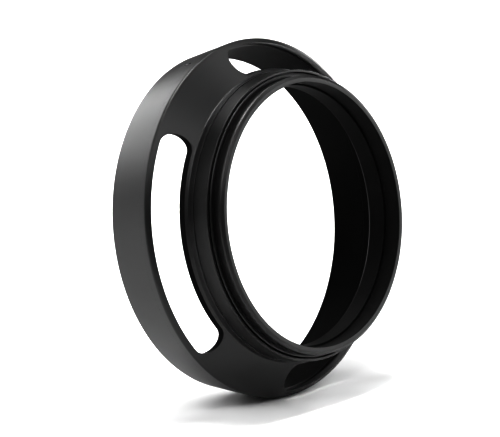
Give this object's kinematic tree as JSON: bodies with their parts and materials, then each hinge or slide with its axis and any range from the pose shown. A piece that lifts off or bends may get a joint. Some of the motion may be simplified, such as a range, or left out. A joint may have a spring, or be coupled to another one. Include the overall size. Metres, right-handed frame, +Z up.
{
  "type": "lens hood",
  "caption": "Short screw-in lens hood: tapered open band, vented cone behind it, and a narrow threaded mount it turns on.",
  "frame": {"origin": "bottom centre of the bounding box, on the surface the hood stands on", "axes": "+Z up; the hood stands on the flat of its tapered band; +Y towards the threaded mount, the optical axis rising 10.7 degrees towards it; -Y towards the subject"},
  "size_m": [0.0598, 0.0282, 0.0588],
  "materials": {
    "satin_black": "satin black anodised aluminium",
    "bore_black": "matt black anti-reflection finish",
    "spring_steel": "bright spring steel",
    "nylon": "natural nylon",
    "mark_fill": "matt dark grey paint fill"
  },
  "bodies": {
    "mount": {"mount_ring": "satin_black", "retaining_ring": "bore_black", "wave_spring": "spring_steel", "glide_washer": "nylon", "stop_pin": "spring_steel"},
    "shell": {"front_rim": "satin_black", "vented_flange": "satin_black", "index_mark": "mark_fill"},
    "washer": {"thrust_washer": "spring_steel"},
    "lock": {"lock_ring": "satin_black"}
  },
  "joints": [
    {"name": "hood_turn", "type": "hinge", "parent": "mount", "child": "shell", "pos_m": [0, -0.00007, 0.02945], "axis": [0, 0.9827, 0.1854], "continuous": true},
    {"name": "washer_lift", "type": "slide", "parent": "mount", "child": "washer", "axis": [0, 0.9827, 0.1854], "range_m": [0, 0.0002]},
    {"name": "lock_turn", "type": "hinge", "parent": "washer", "child": "lock", "pos_m": [0, 0.00612, 0.03062], "axis": [0, 0.9827, 0.1854], "range_deg": [0, 120]}
  ],
  "couplings": [
    {"joint": "washer_lift", "follows": "lock_turn", "m_per_rad": 0.000095493}
  ]
}
